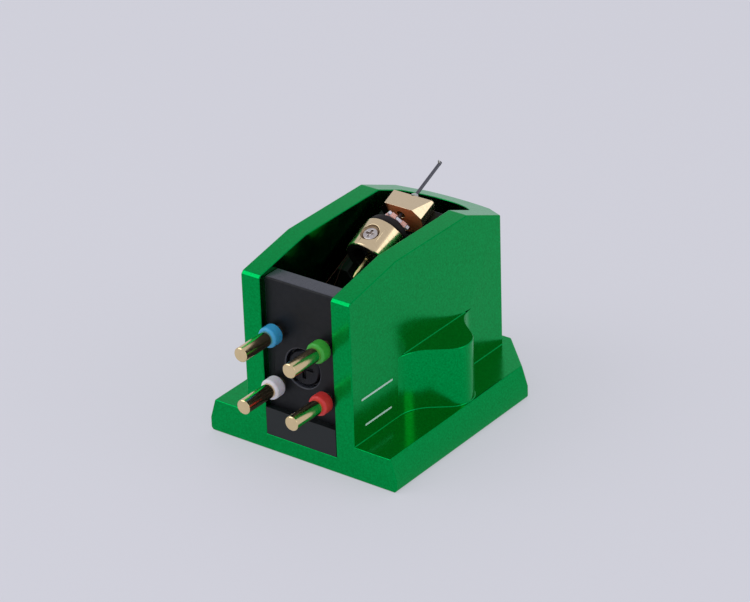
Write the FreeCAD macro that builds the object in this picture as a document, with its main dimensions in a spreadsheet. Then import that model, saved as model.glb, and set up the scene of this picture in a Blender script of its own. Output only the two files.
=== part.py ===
import FreeCAD, Part
import math
import os
import Sketcher

# Turntable stylus cartridge of the moving coil kind, standing on its mounting face.
# X runs across, Y runs from the terminal pins to the stylus, Z runs up from the mounting face.
# The origin lies on the mounting face, midway between the two mounting holes.
# Each piece is drawn from the rear face and moved to the origin by its Placement.

os.makedirs("parts", exist_ok=True)
doc = FreeCAD.newDocument("cartridge")

# Driving sizes in mm and degrees
SIZES = {
    # machined body
    "body_length": 21.45, "hole_back": 10.7, "hole_pitch": 12.7,
    "flange_width": 18.0, "flange_top_width": 16.96, "flange_thick": 2.8,
    "flange_rim": 1.1, "flange_corner": 3.75, "flange_bevel": 0.2,
    "flange_front_lean": 0.4, "flange_corner_turn": 45.0,
    "body_width": 10.26, "channel_width": 6.72, "channel_floor": 1.37,
    "rear_height": 15.02, "rear_chamfer": 0.24, "deck_height": 16.1,
    "deck_start": 5.96, "deck_end": 15.33, "nose_slope": 22.3,
    "nose_bow": 0.45, "nose_corner_side": 2.1, "nose_corner_back": 1.65,
    "channel_wall_end": 18.1, "channel_bow": 1.5,
    "boss_height": 7.87, "boss_radius": 2.0, "boss_flank": 37.0, "boss_fillet": 3.1,
    "tap_drill": 2.05, "tap_depth": 6.0,
    # terminal block, label plate and their screw
    "block_recess": 0.6, "block_thick": 1.7, "block_drop": 0.22, "block_round": 0.25,
    "label_height": 2.38, "pins_height": 8.13, "block_screw_height": 7.82,
    "screw_recess_radius": 1.65, "screw_recess_depth": 0.55,
    "screw_head_radius": 1.5, "screw_head_thick": 0.45, "screw_shank_radius": 0.6,
    "screw_thread_length": 1.2, "screw_slot_width": 0.32, "screw_slot_depth": 0.25,
    # terminal pins and collars
    "pin_radius": 0.6, "pin_pitch_across": 4.6, "pin_pitch_up": 4.5, "pin_out": 4.0,
    "pin_chamfer": 0.08, "pin_seat_radius": 0.42, "pin_seat_gap": 0.06,
    "pin_tail": 1.2, "collar_radius": 0.85, "collar_out": 0.5, "press_gap": 0.005,
    # generator, measured along its own axis behind the front face of the front yoke
    "axis_tilt": 23.5, "axis_front": 15.4, "axis_above_deck": 0.15,
    "front_yoke_length": 1.9, "front_yoke_radius": 1.95, "front_yoke_hole": 0.34,
    "front_flat_low": 0.3, "front_flat_rise": 18.9, "front_bevel_reach": 1.61,
    "front_bevel_angle": 38.0,
    "coil_place": 2.93, "coil_plate": 0.26, "coil_side": 2.0, "coil_winding": 0.06,
    "coil_band": 0.5, "coil_offset": 0.5,
    "damper_front": 3.3, "damper_front_radius": 1.6, "damper_radius": 1.75,
    "damper_round": 0.22, "rear_yoke_front": 4.15, "rear_yoke_length": 2.85,
    "rear_yoke_radius": 1.86, "rear_yoke_bore": 1.22, "rear_yoke_rim": 0.12,
    "pole_length": 1.85, "yoke_screw_place": 5.57, "yoke_screw_head": 0.54,
    "yoke_head_edge": 0.2, "yoke_head_crown": 0.06, "yoke_screw_shank": 0.35,
    "yoke_slot_width": 0.18, "yoke_slot_depth": 0.2,
    "yoke_seat_radius": 0.76, "yoke_seat_sink": 0.17, "yoke_seat_cone": 0.35,
    # tie wire, ferrule, cantilever and stylus
    "tie_radius": 0.14, "tie_front": 2.9, "tie_back": 6.05, "tie_gap": 0.1,
    "ferrule_front": 4.2, "ferrule_step": 6.3, "ferrule_end": 8.85, "ferrule_inner": 0.32,
    "ferrule_floor": 0.1, "ferrule_neck": 0.23, "ferrule_neck_end": 6.95,
    "ferrule_radius": 0.17, "ferrule_taper": 0.45,
    "cantilever_radius": 0.14, "cantilever_reach": 4.0, "cantilever_seat": 0.1,
    "stylus_radius": 0.1, "stylus_length": 0.55, "stylus_back": 0.16, "stylus_cone": 0.18,
    # bracket and its screw
    "bracket_base": 1.5, "bracket_base_side": 0.2, "bracket_front": 16.8,
    "bracket_lug_width": 2.6, "bracket_lug_thick": 1.4, "bracket_lug_wall": 0.67,
    "bracket_post_width": 5.2, "bracket_post_back": 8.6, "bracket_saddle": 0.95,
    "bracket_relief": 0.35, "bracket_screw_place": 12.6, "bracket_screw_radius": 0.8,
    "bracket_screw_head": 1.5, "bracket_screw_cone": 0.7, "bracket_screw_length": 4.2,
    "bracket_slot_width": 0.35, "bracket_slot_depth": 0.35, "clear_gap": 0.05,
    # fine leads from the coils to the pins
    "lead_radius": 0.03, "lead_gap": 0.2, "lead_drop": 0.55, "lead_bend": 0.5,
}
sheet = doc.addObject("Spreadsheet::Sheet", "Size")
for row, (word, value) in enumerate(SIZES.items(), start=1):
    sheet.set("A%d" % row, word)
    sheet.set("B%d" % row, str(value))
    sheet.setAlias("B%d" % row, word)
doc.recompute()

MARGIN = "2"
AXIS_HEIGHT = "(Size.deck_height + Size.axis_above_deck)"
BLOCK_TOP = "(Size.rear_height - Size.block_drop)"


def value_of(text):
    """The number that an expression gives now."""
    result = sheet.evalExpression(str(text))
    return float(getattr(result, "Value", result))


def sized(word):
    return float(sheet.get(word))


def role_of(body, role):
    """One of the body's own origin planes or axes."""
    for feature in body.Origin.OriginFeatures:
        if feature.Role == role:
            return feature
    raise RuntimeError("no " + role)


def new_body(label):
    body = doc.addObject("PartDesign::Body", label)
    body.Label = label
    return body


def place(body, x, y, z, tilt=None):
    """Binds a piece's Placement to the sheet; x, y and z are expressions."""
    angle = value_of(tilt) if tilt else 0
    turn = FreeCAD.Rotation(FreeCAD.Vector(1, 0, 0), angle)
    base = FreeCAD.Vector(value_of(x), value_of(y), value_of(z))
    body.Placement = FreeCAD.Placement(base, turn)
    body.setExpression("Placement.Base.x", x)
    body.setExpression("Placement.Base.y", y)
    body.setExpression("Placement.Base.z", z)
    if tilt:
        body.setExpression("Placement.Rotation.Angle", tilt)


def place_at_rear(body):
    place(body, "0 mm", "-Size.hole_back * 1 mm", "0 mm")


def place_on_axis(body):
    """Y of the piece runs along the generator's axis, from the front yoke's front face."""
    forward = "(Size.axis_front - Size.hole_back) * 1 mm"
    place(body, "0 mm", forward, AXIS_HEIGHT + " * 1 mm", "Size.axis_tilt * 1 deg")


def place_square_on_axis(body):
    """As place_on_axis, with the piece turned an eighth about the generator's axis."""
    place_on_axis(body)
    tilt = FreeCAD.Rotation(FreeCAD.Vector(1, 0, 0), sized("axis_tilt"))
    eighth = FreeCAD.Rotation(FreeCAD.Vector(0, 1, 0), 45)
    body.setExpression("Placement.Rotation.Angle", None)
    body.Placement = FreeCAD.Placement(body.Placement.Base, tilt.multiply(eighth))


def bind_point(sketch, edge, end, across, up):
    """Ties one end of an edge to its place from the sketch's origin."""
    for kind, text in (("DistanceX", across), ("DistanceY", up)):
        number = value_of(text)
        if abs(number) < 1e-9 and text == "0":
            line = -2 if kind == "DistanceX" else -1
            sketch.addConstraint(Sketcher.Constraint("PointOnObject", edge, end, line))
            continue
        index = sketch.addConstraint(Sketcher.Constraint(kind, -1, 1, edge, end, number))
        sketch.setExpression("Constraints[%d]" % index, text)


def new_sketch(body, name, plane, lift=None):
    sketch = body.newObject("Sketcher::SketchObject", name)
    sketch.AttachmentSupport = [(role_of(body, plane), "")]
    sketch.MapMode = "FlatFace"
    if lift:
        sketch.AttachmentOffset = FreeCAD.Placement(
            FreeCAD.Vector(0, 0, value_of(lift)), FreeCAD.Rotation())
        sketch.setExpression("AttachmentOffset.Base.z", lift)
    return sketch


def arc_between(first, middle, last):
    """The arc from first to last, run anticlockwise through middle."""
    ring = Part.Arc(first, middle, last).toShape().Curve
    centre = ring.Center
    start = math.atan2(first.y - centre.y, first.x - centre.x)
    stop = math.atan2(last.y - centre.y, last.x - centre.x)
    if stop < start:
        stop += 2 * math.pi
    circle = Part.Circle(centre, FreeCAD.Vector(0, 0, 1), ring.Radius)
    return Part.ArcOfCircle(circle, start, stop)


def add_outline(sketch, points):
    """A closed outline; a point is (across, up), or (across, up, mid point, radius) after an arc."""
    spots = [FreeCAD.Vector(value_of(p[0]), value_of(p[1]), 0) for p in points]
    count = len(points)
    edges = []
    for number in range(count):
        here = spots[number]
        there = spots[(number + 1) % count]
        target = points[(number + 1) % count]
        if len(target) == 4:
            middle = FreeCAD.Vector(value_of(target[2][0]), value_of(target[2][1]), 0)
            leftward = (middle - here).cross(there - middle).z > 0
            first, last = (here, there) if leftward else (there, here)
            edge = sketch.addGeometry(arc_between(first, middle, last), False)
            edges.append((edge, 1, 2) if leftward else (edge, 2, 1))
            ring = sketch.addConstraint(Sketcher.Constraint("Radius", edge, value_of(target[3])))
            sketch.setExpression("Constraints[%d]" % ring, target[3])
        else:
            edge = sketch.addGeometry(Part.LineSegment(here, there), False)
            edges.append((edge, 1, 2))
    for number in range(count):
        edge, first, last = edges[number]
        after, after_first, after_last = edges[(number + 1) % count]
        sketch.addConstraint(Sketcher.Constraint("Coincident", edge, last, after, after_first))
    for number in range(count):
        edge, first, last = edges[number]
        bind_point(sketch, edge, first, points[number][0], points[number][1])


def add_circle(sketch, across, up, radius):
    centre = FreeCAD.Vector(value_of(across), value_of(up), 0)
    circle = Part.Circle(centre, FreeCAD.Vector(0, 0, 1), value_of(radius))
    edge = sketch.addGeometry(circle, False)
    ring = sketch.addConstraint(Sketcher.Constraint("Radius", edge, value_of(radius)))
    sketch.setExpression("Constraints[%d]" % ring, radius)
    bind_point(sketch, edge, 3, across, up)


def set_length(feature, sketch, length, reverse, middle):
    feature.Profile = sketch
    feature.setExpression("Length", length)
    feature.Reversed = reverse
    if middle:
        feature.SideType = "Symmetric"
    sketch.Visibility = False
    doc.recompute()


def pad(body, sketch, length, reverse=False, middle=False):
    feature = body.newObject("PartDesign::Pad", sketch.Name + "_pad")
    set_length(feature, sketch, length, reverse, middle)
    return feature


def pocket(body, sketch, length, reverse=False, middle=False):
    """Cuts the sketch and makes sure that it removed something."""
    before = body.Shape.Volume
    feature = body.newObject("PartDesign::Pocket", sketch.Name + "_pocket")
    set_length(feature, sketch, length, reverse, middle)
    if body.Shape.Volume >= before - 1e-9:
        raise RuntimeError(sketch.Name + " cuts nothing")
    return feature


def turn(body, sketch, axis="V_Axis", cut=False):
    kind = "PartDesign::Groove" if cut else "PartDesign::Revolution"
    before = body.Shape.Volume if cut else 0
    feature = body.newObject(kind, sketch.Name + "_turned")
    feature.Profile = sketch
    feature.ReferenceAxis = (sketch, [axis])
    feature.Angle = 360
    sketch.Visibility = False
    doc.recompute()
    if cut and body.Shape.Volume >= before - 1e-9:
        raise RuntimeError(sketch.Name + " cuts nothing")
    return feature


def round_edges(body, base, wanted, radius, kind="Fillet"):
    """Fillet or chamfer on the edges that the test picks."""
    names = []
    for number, edge in enumerate(base.Shape.Edges, start=1):
        if wanted(edge):
            names.append("Edge%d" % number)
    if not names:
        raise RuntimeError("no edge for " + base.Name)
    feature = body.newObject("PartDesign::" + kind, "%s_%s" % (body.Name, kind.lower()))
    feature.Base = (base, names)
    feature.setExpression("Radius" if kind == "Fillet" else "Size", radius)
    doc.recompute()
    return feature


def mirrored(points):
    """The same outline on the other side of X = 0, run the other way round."""
    flipped = []
    for number in reversed(range(len(points))):
        after = points[(number + 1) % len(points)]
        spot = ("-(" + points[number][0] + ")", points[number][1])
        if len(after) == 4:
            spot += (("-(" + after[2][0] + ")", after[2][1]), after[3])
        flipped.append(spot)
    return flipped


# Machined body: flange, two cheeks, bowed nose and side bosses in one piece
def make_body():
    body = new_body("body")
    place_at_rear(body)

    half = "Size.flange_width / 2"
    top = "Size.flange_top_width / 2"
    profile = new_sketch(body, "flange_profile", "XZ_Plane")
    right = [(half + " - Size.flange_bevel", "0"), (half, "Size.flange_bevel"),
             (half, "Size.flange_rim"), (top, "Size.flange_thick")]
    add_outline(profile, right + mirrored(right))
    pad(body, profile, "Size.body_length", reverse=True)

    # The front and the cut corners stand upright to the rim and lean back above it
    over_top = "Size.flange_thick + " + MARGIN
    leaning = "Size.flange_front_lean * (1 + %s / (Size.flange_thick - Size.flange_rim))" % MARGIN
    beyond = "Size.body_length + " + MARGIN
    front = new_sketch(body, "flange_front", "YZ_Plane")
    add_outline(front, [
        ("Size.body_length", "Size.flange_rim"), (beyond, "Size.flange_rim"),
        (beyond, over_top), ("Size.body_length - " + leaning, over_top)])
    pocket(body, front, "Size.flange_width + " + MARGIN, middle=True)

    turned = "Size.flange_corner_turn * 1 deg"
    reach = "(%s * cos(%s) + (Size.body_length - Size.flange_corner) * sin(%s))" % (
        half, turned, turned)
    for label, angle in (("right", turned), ("left", "180 deg - " + turned)):
        corner = new_sketch(body, "flange_corner_" + label, "XZ_Plane")
        corner.AttachmentOffset = FreeCAD.Placement(
            FreeCAD.Vector(0, 0, 0), FreeCAD.Rotation(FreeCAD.Vector(0, 1, 0), value_of(angle)))
        corner.setExpression("AttachmentOffset.Rotation.Angle", angle)
        add_outline(corner, [
            (reach, "-" + MARGIN), (reach, "Size.flange_rim"),
            (reach + " - " + leaning, over_top),
            (reach + " + Size.flange_corner", over_top),
            (reach + " + Size.flange_corner", "-" + MARGIN)])
        pocket(body, corner, "2 * Size.body_length", middle=True)

    wall = "Size.body_width / 2"
    shoulder = wall + " - Size.nose_corner_side"
    bow_radius = "((%s)^2 + Size.nose_bow^2) / (2 * Size.nose_bow)" % shoulder
    nose = ("0", "Size.body_length + Size.nose_bow")
    column = new_sketch(body, "column_plan", "XY_Plane")
    add_outline(column, [
        ("-(%s)" % wall, "0"), (wall, "0"),
        (wall, "Size.body_length - Size.nose_corner_back"),
        (shoulder, "Size.body_length"),
        ("-(%s)" % shoulder, "Size.body_length", nose, bow_radius),
        ("-(%s)" % wall, "Size.body_length - Size.nose_corner_back")])
    pad(body, column, "Size.deck_height + " + MARGIN)

    far = "Size.body_length + Size.nose_bow + " + MARGIN
    drop = "tan(Size.nose_slope * 1 deg) * (%s - Size.deck_end)" % far
    above = "Size.deck_height + 2 * " + MARGIN
    deck = new_sketch(body, "deck_line", "YZ_Plane")
    add_outline(deck, [
        ("-" + MARGIN, above),
        ("-" + MARGIN, "Size.rear_height - Size.rear_chamfer - " + MARGIN),
        ("Size.rear_chamfer", "Size.rear_height"), ("Size.deck_start", "Size.deck_height"),
        ("Size.deck_end", "Size.deck_height"), (far, "Size.deck_height - " + drop),
        (far, above)])
    pocket(body, deck, "Size.body_width + " + MARGIN, middle=True)

    # Each boss: a round nose, two straight flanks and a fillet into the cheek
    lean = "Size.boss_flank * 1 deg"
    centre = "Size.hole_pitch / 2"
    foot = "tan(%s) * (%s + Size.boss_radius / sin(%s) - %s)" % (lean, centre, lean, wall)
    run = "Size.boss_fillet * tan((90 deg - %s) / 2)" % lean
    half_turn = "((90 deg - %s) / 2)" % lean
    bulge = "Size.boss_fillet * (1 - cos(%s))" % half_turn
    side = []
    for sign, back in (("-", True), ("+", False)):
        at_wall = (wall, "Size.hole_back %s (%s + %s)" % (sign, foot, run))
        on_flank = ("%s + %s * cos(%s)" % (wall, run, lean),
                    "Size.hole_back %s (%s - %s * sin(%s))" % (sign, foot, run, lean))
        middle = ("%s + %s" % (wall, bulge), "Size.hole_back %s (%s + %s - Size.boss_fillet * sin(%s))"
                  % (sign, foot, run, half_turn))
        on_nose = ("%s + Size.boss_radius * sin(%s)" % (centre, lean),
                   "Size.hole_back %s Size.boss_radius * cos(%s)" % (sign, lean))
        inside = (wall + " - 1", at_wall[1])
        if back:
            side += [inside, at_wall, on_flank + (middle, "Size.boss_fillet"), on_nose]
        else:
            tip = (centre + " + Size.boss_radius", "Size.hole_back")
            side += [on_nose + (tip, "Size.boss_radius"), on_flank,
                     at_wall + (middle, "Size.boss_fillet"), inside]
    boss = new_sketch(body, "boss_plan", "XY_Plane")
    add_outline(boss, side)
    add_outline(boss, mirrored(side))
    pad(body, boss, "Size.boss_height")

    side_wall = "Size.channel_width / 2"
    channel_radius = "((%s)^2 + Size.channel_bow^2) / (2 * Size.channel_bow)" % side_wall
    end = ("0", "Size.channel_wall_end + Size.channel_bow")
    channel = new_sketch(body, "channel_plan", "XY_Plane", "Size.channel_floor * 1 mm")
    add_outline(channel, [
        ("-(%s)" % side_wall, "-" + MARGIN), (side_wall, "-" + MARGIN),
        (side_wall, "Size.channel_wall_end"),
        ("-(%s)" % side_wall, "Size.channel_wall_end", end, channel_radius)])
    pocket(body, channel, "Size.deck_height + " + MARGIN, reverse=True)

    holes = new_sketch(body, "mounting_holes", "XY_Plane")
    for sign in ("", "-"):
        add_circle(holes, sign + "Size.hole_pitch / 2", "Size.hole_back", "Size.tap_drill / 2")
    pocket(body, holes, "Size.tap_depth", reverse=True)

    sink = new_sketch(body, "bracket_screw_seat", "YZ_Plane")
    sink.AttachmentOffset = FreeCAD.Placement(
        FreeCAD.Vector(sized("bracket_screw_place"), 0, 0), FreeCAD.Rotation())
    sink.setExpression("AttachmentOffset.Base.x", "Size.bracket_screw_place * 1 mm")
    add_outline(sink, [
        ("0", "-1"), ("Size.bracket_screw_head + Size.clear_gap", "-1"),
        ("Size.bracket_screw_head + Size.clear_gap", "0"),
        ("Size.bracket_screw_radius + Size.clear_gap", "Size.bracket_screw_cone"),
        ("Size.bracket_screw_radius + Size.clear_gap", "Size.channel_floor + 1"),
        ("0", "Size.channel_floor + 1")])
    turn(body, sink, cut=True)
    return body


# Black terminal block between the cheeks, with holes for the pins and a recess for its screw
def make_block():
    block = new_body("terminal_block")
    place_at_rear(block)
    half = "Size.channel_width / 2"
    inner = "Size.block_recess + Size.block_thick"
    outline = new_sketch(block, "block_side", "YZ_Plane")
    add_outline(outline, [
        ("Size.block_recess", "Size.channel_floor"), (inner, "Size.channel_floor"),
        (inner, BLOCK_TOP), ("Size.block_recess", BLOCK_TOP)])
    solid = pad(block, outline, "Size.channel_width", middle=True)

    def top_back(edge):
        box = edge.BoundBox
        long_way = box.XLength > sized("channel_width") / 2
        high = abs(box.ZMin - value_of(BLOCK_TOP)) < 1e-4 and box.ZLength < 1e-4
        return long_way and high and abs(box.YMin - sized("block_recess")) < 1e-4

    round_edges(block, solid, top_back, "Size.block_round")

    holes = new_sketch(block, "pin_holes", "XZ_Plane")
    for side in ("", "-"):
        for level in ("+", "-"):
            height = "Size.pins_height %s Size.pin_pitch_up / 2" % level
            add_circle(holes, side + "Size.pin_pitch_across / 2", height,
                       "Size.pin_seat_radius + Size.press_gap")
    add_circle(holes, "0", "Size.block_screw_height", "Size.screw_shank_radius + Size.clear_gap")
    pocket(block, holes, "Size.block_recess + Size.block_thick + " + MARGIN, reverse=False)

    recess = new_sketch(block, "screw_recess", "XZ_Plane")
    add_circle(recess, "0", "Size.block_screw_height", "Size.screw_recess_radius")
    pocket(block, recess, "Size.block_recess + Size.screw_recess_depth", reverse=False)
    return block


# Bare label plate below the block, flush with the rear face
def make_label_plate():
    plate = new_body("label_plate")
    place_at_rear(plate)
    outline = new_sketch(plate, "plate_side", "YZ_Plane")
    top = "Size.channel_floor + Size.label_height"
    add_outline(outline, [("0", "Size.channel_floor"), ("Size.block_recess", "Size.channel_floor"),
                          ("Size.block_recess", top), ("0", top)])
    pad(plate, outline, "Size.channel_width", middle=True)
    return plate


def cut_cross(body, plane, lift, width, length, depth, reverse):
    """A cross slot cut into a screw head from its top plane."""
    cross = new_sketch(body, body.Name + "_slot", plane, lift)
    long_half, short_half = "(%s) / 2" % length, "(%s) / 2" % width
    add_outline(cross, [
        (long_half, "-" + short_half), (long_half, short_half), (short_half, short_half),
        (short_half, long_half), ("-" + short_half, long_half), ("-" + short_half, short_half),
        ("-" + long_half, short_half), ("-" + long_half, "-" + short_half),
        ("-" + short_half, "-" + short_half), ("-" + short_half, "-" + long_half),
        (short_half, "-" + long_half), (short_half, "-" + short_half)])
    pocket(body, cross, depth, reverse=reverse)


# Cross-slotted screw that fixes the terminal block to the bracket
def make_block_screw():
    screw = new_body("terminal_screw")
    seat = "Size.block_recess + Size.screw_recess_depth"
    place(screw, "0 mm", "(%s - Size.hole_back) * 1 mm" % seat, "Size.block_screw_height * 1 mm")
    profile = new_sketch(screw, "terminal_screw_profile", "XY_Plane")
    reach = "Size.block_thick - Size.screw_recess_depth + Size.screw_thread_length"
    add_outline(profile, [
        ("0", "-Size.screw_head_thick"),
        ("Size.screw_head_radius - Size.screw_head_thick / 3", "-Size.screw_head_thick"),
        ("Size.screw_head_radius", "-Size.screw_head_thick * 2 / 3"),
        ("Size.screw_head_radius", "0"), ("Size.screw_shank_radius", "0"),
        ("Size.screw_shank_radius", reach), ("0", reach)])
    turn(screw, profile)
    cut_cross(screw, "XZ_Plane", "Size.screw_head_thick * 1 mm", "Size.screw_slot_width",
              "Size.screw_head_radius * 1.2", "Size.screw_slot_depth", False)
    return screw


# Gold terminal pin with a solder tail behind the block
def make_pin(label, side, level):
    pin = new_body(label)
    height = "(Size.pins_height %s Size.pin_pitch_up / 2) * 1 mm" % level
    across = "%sSize.pin_pitch_across / 2 * 1 mm" % side
    place(pin, across, "-Size.hole_back * 1 mm", height)
    profile = new_sketch(pin, label + "_profile", "XY_Plane")
    tail = "Size.block_recess + Size.block_thick + Size.pin_tail"
    add_outline(profile, [
        ("0", "-Size.pin_out"), ("Size.pin_radius - Size.pin_chamfer", "-Size.pin_out"),
        ("Size.pin_radius", "-Size.pin_out + Size.pin_chamfer"),
        ("Size.pin_radius", "-Size.collar_out - Size.pin_seat_gap"),
        ("Size.pin_seat_radius", "-Size.collar_out - Size.pin_seat_gap"),
        ("Size.pin_seat_radius", tail), ("0", tail)])
    turn(pin, profile)
    return pin


# Coloured insulating collar round a pin, seated on the block's face
def make_collar(label, side, level):
    collar = new_body(label)
    height = "(Size.pins_height %s Size.pin_pitch_up / 2) * 1 mm" % level
    across = "%sSize.pin_pitch_across / 2 * 1 mm" % side
    place(collar, across, "-Size.hole_back * 1 mm", height)
    profile = new_sketch(collar, label + "_profile", "XY_Plane")
    bore = "Size.pin_seat_radius + Size.press_gap"
    add_outline(profile, [
        (bore, "-Size.collar_out"), ("Size.collar_radius", "-Size.collar_out"),
        ("Size.collar_radius", "Size.block_recess"), (bore, "Size.block_recess")])
    turn(collar, profile)
    return collar


# Gold front yoke: a round pole with a sloping flat on top, a bevel each side and a bore
def make_front_yoke():
    yoke = new_body("front_yoke")
    place_on_axis(yoke)
    disc = new_sketch(yoke, "front_yoke_disc", "XZ_Plane")
    add_circle(disc, "0", "0", "Size.front_yoke_radius")
    add_circle(disc, "0", "0", "Size.front_yoke_hole")
    pad(yoke, disc, "Size.front_yoke_length")

    flat = new_sketch(yoke, "front_yoke_flat", "YZ_Plane")
    slope = "tan(Size.front_flat_rise * 1 deg)"
    back = "-(Size.front_yoke_length + 1)"
    rise = "Size.front_flat_low + %s * (Size.front_yoke_length + 1)" % slope
    add_outline(flat, [("1", "Size.front_flat_low - %s" % slope),
                       ("1", "Size.front_yoke_radius + 1"),
                       (back, "Size.front_yoke_radius + 1"), (back, rise)])
    pocket(yoke, flat, "Size.front_yoke_radius * 3", middle=True)

    bevel = new_sketch(yoke, "front_yoke_bevel", "XZ_Plane", "-1 mm")
    lean = "Size.front_bevel_angle * 1 deg"
    long_way = "Size.front_yoke_radius * 1.5"
    deep = "(Size.front_bevel_reach + Size.front_yoke_radius)"
    cut = [
        ("Size.front_bevel_reach * cos(%s) + %s * sin(%s)" % (lean, long_way, lean),
         "Size.front_bevel_reach * sin(%s) - %s * cos(%s)" % (lean, long_way, lean)),
        ("%s * cos(%s) + %s * sin(%s)" % (deep, lean, long_way, lean),
         "%s * sin(%s) - %s * cos(%s)" % (deep, lean, long_way, lean)),
        ("%s * cos(%s)" % (deep, lean), "%s * sin(%s) + 0.2" % (deep, lean)),
        ("Size.front_bevel_reach * cos(%s) - 0.6 * %s * sin(%s)" % (lean, long_way, lean),
         "Size.front_bevel_reach * sin(%s) + 0.6 * %s * cos(%s)" % (lean, long_way, lean))]
    add_outline(bevel, cut)
    pocket(yoke, bevel, "Size.front_yoke_length + 2", reverse=True)
    other = new_sketch(yoke, "front_yoke_bevel_left", "XZ_Plane", "-1 mm")
    add_outline(other, mirrored(cut))
    pocket(yoke, other, "Size.front_yoke_length + 2", reverse=True)
    return yoke


# Square former on the cantilever's end, turned onto its corner, notched where the coils pass
def make_former():
    former = new_body("coil_former")
    place_square_on_axis(former)
    start = "(Size.coil_place - Size.coil_plate / 2) * 1 mm"
    plan = new_sketch(former, "former_plate", "XZ_Plane", start)
    edge = "Size.coil_side / 2"
    dip = "(Size.coil_side / 2 - 2 * Size.coil_winding)"
    near = "(Size.coil_offset - Size.coil_band / 2)"
    away = "(Size.coil_offset + Size.coil_band / 2)"
    notch = [("-", away, edge), ("-", away, dip), ("-", near, dip), ("-", near, edge),
             ("", near, edge), ("", near, dip), ("", away, dip), ("", away, edge)]
    points = []
    for quarter in range(4):
        points.append(turned_point("-", edge, edge, quarter))
        for sign, along, out in notch:
            points.append(turned_point(sign, along, out, quarter))
    add_outline(plan, points)
    pad(former, plan, "Size.coil_plate")

    back = "Size.coil_place + Size.coil_plate / 2"
    front = "Size.coil_place - Size.coil_plate / 2"
    lip = front + " + Size.cantilever_seat"
    bore = new_sketch(former, "former_bore", "XY_Plane")
    add_outline(bore, [
        ("0", "-(%s) + 0.5" % front), ("Size.cantilever_radius", "-(%s) + 0.5" % front),
        ("Size.cantilever_radius", "-(%s)" % lip),
        ("Size.tie_radius + Size.tie_gap", "-(%s)" % lip),
        ("Size.tie_radius + Size.tie_gap", "-(%s) - 0.5" % back), ("0", "-(%s) - 0.5" % back)])
    turn(former, bore, cut=True)
    return former


def turned_point(sign, along, out, quarter):
    """A point of one side of the square, turned by so many quarters."""
    other = "" if sign == "-" else "-"
    across, up = sign + along, out
    if quarter == 1:
        across, up = out, other + along
    elif quarter == 2:
        across, up = other + along, "-" + out
    elif quarter == 3:
        across, up = "-" + out, sign + along
    return (across, up)


# One coil: two flat bands of wire wound over the former, one each side of the middle
def make_coil(label, outer):
    coil = new_body(label)
    place_square_on_axis(coil)
    inside = "(Size.coil_winding + Size.press_gap)" if outer else "Size.press_gap"
    outside = "%s * Size.coil_winding" % (2 if outer else 1)
    ends = "(Size.coil_side / 2 - 2 * Size.coil_winding + Size.press_gap)"
    plane, sign = ("YZ_Plane", 1) if outer else ("XY_Plane", -1)
    for name, way in (("low", "-"), ("high", "")):
        band = new_sketch(coil, "%s_%s" % (label, name), plane, way + "Size.coil_offset * 1 mm")
        rings = ((ends + " + 2 * Size.coil_winding - 2 * Size.press_gap", outside),
                 (ends, inside))
        for reach, thick in rings:
            ahead = "-Size.coil_place + (Size.coil_plate / 2 + %s)" % thick
            behind = "-Size.coil_place - (Size.coil_plate / 2 + %s)" % thick
            corners = [(reach, behind), (reach, ahead), ("-(%s)" % reach, ahead),
                       ("-(%s)" % reach, behind)]
            if outer:
                corners = [(up, across) for across, up in corners]
            add_outline(band, corners)
        pad(coil, band, "Size.coil_band - 2 * Size.press_gap", middle=True)
    return coil


# Rubber damper ring between the former and the rear yoke
def make_damper():
    damper = new_body("damper")
    place_on_axis(damper)
    profile = new_sketch(damper, "damper_profile", "XY_Plane")
    hole = "Size.tie_radius + Size.tie_gap"
    front, back = "-Size.damper_front", "-Size.rear_yoke_front"
    add_outline(profile, [
        (hole, front), ("Size.damper_front_radius - Size.damper_round", front),
        ("Size.damper_front_radius", front + " - Size.damper_round"),
        ("Size.damper_radius", back + " + Size.damper_round"),
        ("Size.damper_radius - Size.damper_round / 2", back), (hole, back)])
    turn(damper, profile)
    return damper


# Gold rear yoke: a turned barrel, open behind, with a countersunk screw hole on top
def make_rear_yoke():
    yoke = new_body("rear_yoke")
    place_on_axis(yoke)
    profile = new_sketch(yoke, "rear_yoke_profile", "XY_Plane")
    front = "-Size.rear_yoke_front"
    back = "-(Size.rear_yoke_front + Size.rear_yoke_length)"
    bore = "Size.rear_yoke_bore + Size.press_gap"
    add_outline(profile, [
        (bore, front), ("Size.rear_yoke_radius", front),
        ("Size.rear_yoke_radius", back + " + Size.rear_yoke_rim"),
        ("Size.rear_yoke_radius - Size.rear_yoke_rim", back),
        (bore + " + Size.rear_yoke_rim", back), (bore, back + " + Size.rear_yoke_rim")])
    turn(yoke, profile)
    cut_screw_hole(yoke, "rear_yoke_screw_hole", "Size.clear_gap / 2")
    return yoke


def cut_screw_hole(body, name, gap):
    """The countersunk hole for the yoke screw, across the generator's axis."""
    hole = new_sketch(body, name, "YZ_Plane")
    hole.AttachmentOffset = FreeCAD.Placement(
        FreeCAD.Vector(-sized("yoke_screw_place"), 0, 0), FreeCAD.Rotation())
    hole.setExpression("AttachmentOffset.Base.x", "-Size.yoke_screw_place * 1 mm")
    mouth = "Size.rear_yoke_radius - Size.yoke_seat_sink"
    throat = mouth + " - Size.yoke_seat_cone"
    add_outline(hole, [
        ("0", "Size.ferrule_inner"), ("Size.yoke_screw_shank + " + gap, "Size.ferrule_inner"),
        ("Size.yoke_screw_shank + " + gap, throat), ("Size.yoke_seat_radius", mouth),
        ("Size.yoke_seat_radius", "Size.rear_yoke_radius + 1"),
        ("0", "Size.rear_yoke_radius + 1")])
    turn(body, hole, cut=True)


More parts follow.
